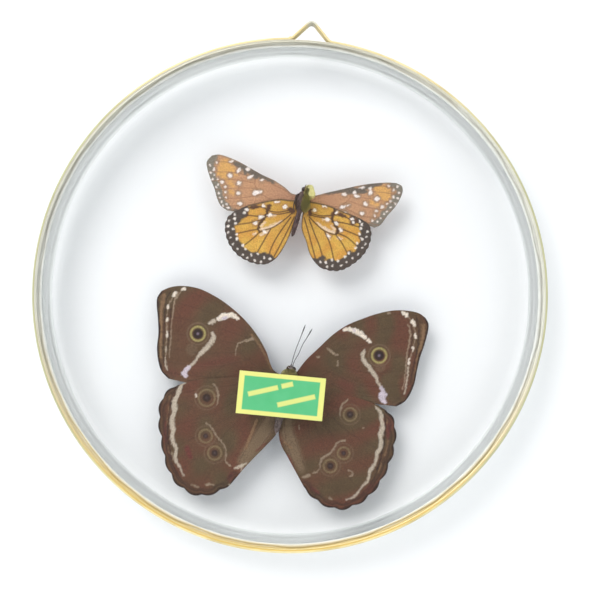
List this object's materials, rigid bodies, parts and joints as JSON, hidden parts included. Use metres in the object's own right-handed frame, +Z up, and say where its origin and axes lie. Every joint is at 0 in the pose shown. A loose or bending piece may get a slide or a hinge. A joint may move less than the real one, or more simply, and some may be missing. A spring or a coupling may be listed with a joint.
{
  "type": "framed butterfly specimen",
  "caption": "Round double-glass hanging case with a brass band and loop, holding two spread butterflies glued to the back pane, with a small paper label on it.",
  "frame": {"origin": "inside of the hanging loop's peak, in the middle of the band's depth, where the case hangs", "axes": "+Z up to the loop, +Y out of the display side, -Y out of the back with the label, +X to the right seen from the back"},
  "size_m": [0.2032, 0.0195, 0.2102],
  "materials": {
    "clear_glass": "clear pressed glass, faintly green, polished",
    "brass": "thin bright brass strip, lightly tarnished",
    "label_paper": "printed gummed paper, green field with a yellow border",
    "aged_glue": "old translucent glue, yellowed",
    "queen_scales": "dry wing scales, orange with dark margins and white spots",
    "morpho_scales": "dry wing scales, brown below and metallic blue above"
  },
  "bodies": {
    "root": {"front_dish": "clear_glass", "back_pane": "clear_glass", "brass_band": "brass", "paper_label": "label_paper", "queen_glue": "aged_glue", "morpho_glue": "aged_glue", "queen_butterfly": "queen_scales", "morpho_butterfly": "morpho_scales"}
  },
  "joints": []
}
